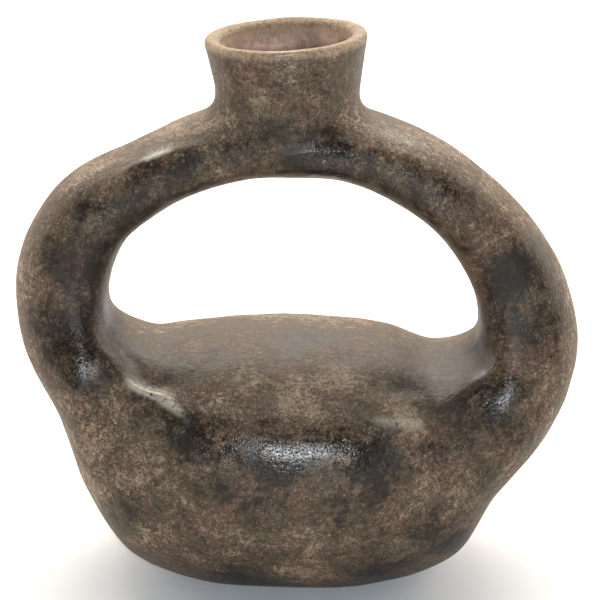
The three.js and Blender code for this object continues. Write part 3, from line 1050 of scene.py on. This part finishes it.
# %% [markdown]
# The tone picks the colour. Soot gives way to brown, which is olive in some places and russet
# in others, and brown gives way to bare clay, buff or rosy. More layers follow, each laid over
# what is there by a share of its own: crusts and the cracks at their edges, grains of grit,
# painted shade in the hollows, the pale rubbed ridges with a painted highlight on them and the
# tan lip. The throat saw less smoke, so it has reddish clay of its own, with clouds of soot,
# most of all at its back.

# %% Colours of the clay
SMOKED = (0.0115, 0.0090, 0.0078)
OLIVE = (0.082, 0.058, 0.034)
RUSSET = (0.118, 0.071, 0.044)
BUFF = (0.44, 0.335, 0.222)
ROSY = (0.455, 0.318, 0.224)
# Pale rubbed clay with a painted highlight on it, for the rubbed ridges
PALE_AND_HIGHLIGHT = (0.46, 0.43, 0.33)
TAN = (0.40, 0.285, 0.18)
REDDISH = (0.62, 0.43, 0.34)
SOOTED = (0.21, 0.16, 0.135)

brown = colour_mix(OLIVE, RUSSET, hue.step(0.42, 0.60))
bare = colour_mix(BUFF, ROSY, hue.step(0.44, 0.58))
soot = colour_mix(SMOKED, OLIVE, specks.step(0.45, 0.65) * 0.3)
crusts = noise_of(place, 5.5, 5, 0.70, 1.2)
cracks = crusts.step(0.50, 0.54) * crusts.step(0.585, 0.55)
throat_dark = larger(throat_soot, mottle.step(0.42, 0.60)) * (scabs.step(0.30, 0.55) * 0.6 + 0.35)
print("nodes with the first colours:", len(Socket.tree.nodes))

# %% [markdown]
# The layers are kept as pairs of a colour and its share, and a loop lays one over another.
# What comes later hides what came before, as dirt and wear do on the real clay.

# %% Layers of colour
def laid_over(ground, layers):
    """The ground with each layer's colour over it, by the layer's share, one after another."""
    for colour, share in layers:
        ground = colour_mix(ground, colour, share)
    return ground


skin_colour = laid_over(soot, (
    # Brown where less smoke reached, and bare clay where least did and where the patches of wear
    # and painted light lift the tone
    (brown, tone.step(0.28, 0.53)),
    (bare, tone.step(0.52, 0.70) * 0.5),
    # Crusts of bare clay, most of all in the patches of wear and painted light, and dark cracks
    # at their edges
    (bare, crusts.step(0.55, 0.60) * tone.step(0.40, 0.60) * (wear_and_painted_light * 0.4 + 0.2)),
    (SMOKED, cracks * (wear_and_painted_light * 0.5 + 0.15)),
    # Grit, light grains and dark pits, and specks of soot that are denser on russet clay
    (bare, grit.step(0.54, 0.66) * tone.step(0.34, 0.60) * 0.5),
    (SMOKED, grit.step(0.49, 0.34) * (0.5 + wear_and_painted_light * 0.3)),
    (SMOKED, specks.step(0.60, 0.35) * (hue.step(0.40, 0.62) * 0.45 + 0.15)),
    # Painted shade in the hollows of the marks
    (SMOKED, proud.step(-0.5, -1.8) * 0.45),
    # The finest grain, dark and light
    (SMOKED, sparkle.step(0.40, 0.27) * 0.5),
    (bare, sparkle.step(0.60, 0.73) * tone.step(0.28, 0.52) * 0.32),
    # Rubbed ridges, pale with a painted highlight on them, and the lip
    (PALE_AND_HIGHLIGHT, rubbed_and_highlit.step(0.25, 0.85) * crusts.step(0.36, 0.50) * 0.75),
    (TAN, on_lip * (specks.step(0.35, 0.60) * 0.4 + 0.35)),
))
throat_colour = laid_over(REDDISH, (
    (SOOTED, throat_dark),
    (BUFF, fine.step(0.52, 0.70) * 0.35),
    (TAN, on_lip * (specks.step(0.35, 0.60) * 0.4 + 0.3)),
    (SMOKED, grit.step(0.45, 0.30) * 0.7),
))
colour = colour_mix(skin_colour, throat_colour, inside)
print("nodes with the colours:", len(Socket.tree.nodes))

# %% [markdown]
# Burnished clay is glossy only where it is smooth. The smoke-black clouds took the best
# polish, the worn places lost theirs, and the inside was never polished. On the burnished
# places a thin coat, broken up by the finest noise, draws the glints. The grain is too small
# for the mesh, so it goes into the bump, in shares of a millimetre.

# %% Gloss and grain
CLAY_ROUGHNESS = 0.44
CLAY_GLOSS = 0.33
CLAY_SHEEN_TINT = (1.0, 0.9, 0.8)
COAT_ROUGHNESS = 0.29

roughness = (CLAY_ROUGHNESS + tone.step(0.34, 0.60) * 0.18 + (fine - 0.5) * 0.35 + inside * 0.3
             - burnished * 0.30 - rubbed_and_highlit * 0.08)
glint = burnished * sparkle.step(0.45, 0.62) * 0.85
grain = (sparkle * 0.09 + specks * 0.13 + fine * 0.25 + strokes * 0.06 + wiping * 0.22
         + hue * 0.5 + inside * fine * 0.8)
bump = Socket.node("ShaderNodeBump", {}, {"Strength": 1.0, "Distance": 1 * MM, "Height": grain})

shader = Socket.tree.nodes["Principled BSDF"]
shader.inputs["Specular IOR Level"].default_value = CLAY_GLOSS
shader.inputs["Specular Tint"].default_value = (*CLAY_SHEEN_TINT, 1)
shader.inputs["Coat Roughness"].default_value = COAT_ROUGHNESS
colour.into(shader.inputs["Base Color"])
roughness.into(shader.inputs["Roughness"])
glint.into(shader.inputs["Coat Weight"])
bump.into(shader.inputs["Normal"])
vessel.data.materials.append(clay)
print("nodes in all:", len(Socket.tree.nodes))

# %% [markdown]
# The vessel stands on a plain pale sheet. It is matt and far wider than the vessel, so the
# light that comes up from it is soft and even.

# %% Floor
FLOOR_HALF = 6.0
FLOOR_GREY = 0.9
FLOOR_ROUGHNESS = 0.9

floor_mesh = bpy.data.meshes.new("floor")
floor_mesh.from_pydata(
    [(x * FLOOR_HALF, y * FLOOR_HALF, 0) for x, y in ((-1, -1), (1, -1), (1, 1), (-1, 1))],
    [], [(0, 1, 2, 3)])
floor = bpy.data.objects.new("floor", floor_mesh)
bpy.context.scene.collection.objects.link(floor)
pale_floor = bpy.data.materials.new("pale_floor")
pale_floor.use_nodes = True
shader = pale_floor.node_tree.nodes["Principled BSDF"]
shader.inputs["Base Color"].default_value = (FLOOR_GREY, FLOOR_GREY, FLOOR_GREY, 1)
shader.inputs["Roughness"].default_value = FLOOR_ROUGHNESS
floor.data.materials.append(pale_floor)
print("the floor is", 2 * FLOOR_HALF, "m wide")

# %% [markdown]
# Soft panels of light stand above, behind and at both sides. Clay that is polished but dark
# shows mostly what it reflects, so the pale panels draw the bright edges, and a small cool lamp
# beside the camera draws the sparkle on what faces it. The room is dim in front and pale
# behind, so that the front keeps its dark reflections.

# %% Light
WARM = (1.0, 0.93, 0.84)
LIGHT_TARGET = Vector((0, 0, 0.1))
# Each light's place and its width and height in metres, its power in watts and its colour
LIGHTS = {
    "top_panel": ((0, 0.45, 1.5), (1.6, 1.6), 26, (1.0, 0.94, 0.87)),
    "back_panel": ((0, 1.4, 1.0), (2.4, 1.0), 30, WARM),
    "left_panel": ((-1.2, 0.5, 0.5), (0.9, 1.0), 8, WARM),
    "right_panel": ((1.2, 0.5, 0.5), (0.9, 1.0), 11, WARM),
    "flash": ((0.03, -1.05, 0.50), (0.06, 0.06), 7.0, (0.78, 0.89, 1.0)),
}
DIM_ROOM = (0.05, 0.049, 0.047)
PALE_ROOM = (0.42, 0.40, 0.37)

for name, (spot_of_light, size, power, tint) in LIGHTS.items():
    light = bpy.data.lights.new(name, "AREA")
    light.shape = "RECTANGLE"
    light.size, light.size_y = size
    light.energy = power
    light.color = tint
    lamp = bpy.data.objects.new(name, light)
    lamp.location = spot_of_light
    lamp.rotation_euler = (LIGHT_TARGET - lamp.location).to_track_quat("-Z", "Y").to_euler()
    bpy.context.scene.collection.objects.link(lamp)

world = bpy.data.worlds.new("pale_room")
world.use_nodes = True
Socket.tree = world.node_tree
toward_back = Socket.node("ShaderNodeTexCoord", {}, {}, "Generated").part("Y")
room = colour_mix(DIM_ROOM, PALE_ROOM, toward_back.step(-0.5, 0.6))
room.into(world.node_tree.nodes["Background"].inputs["Color"])
bpy.context.scene.world = world
print("lights:", ", ".join(LIGHTS))
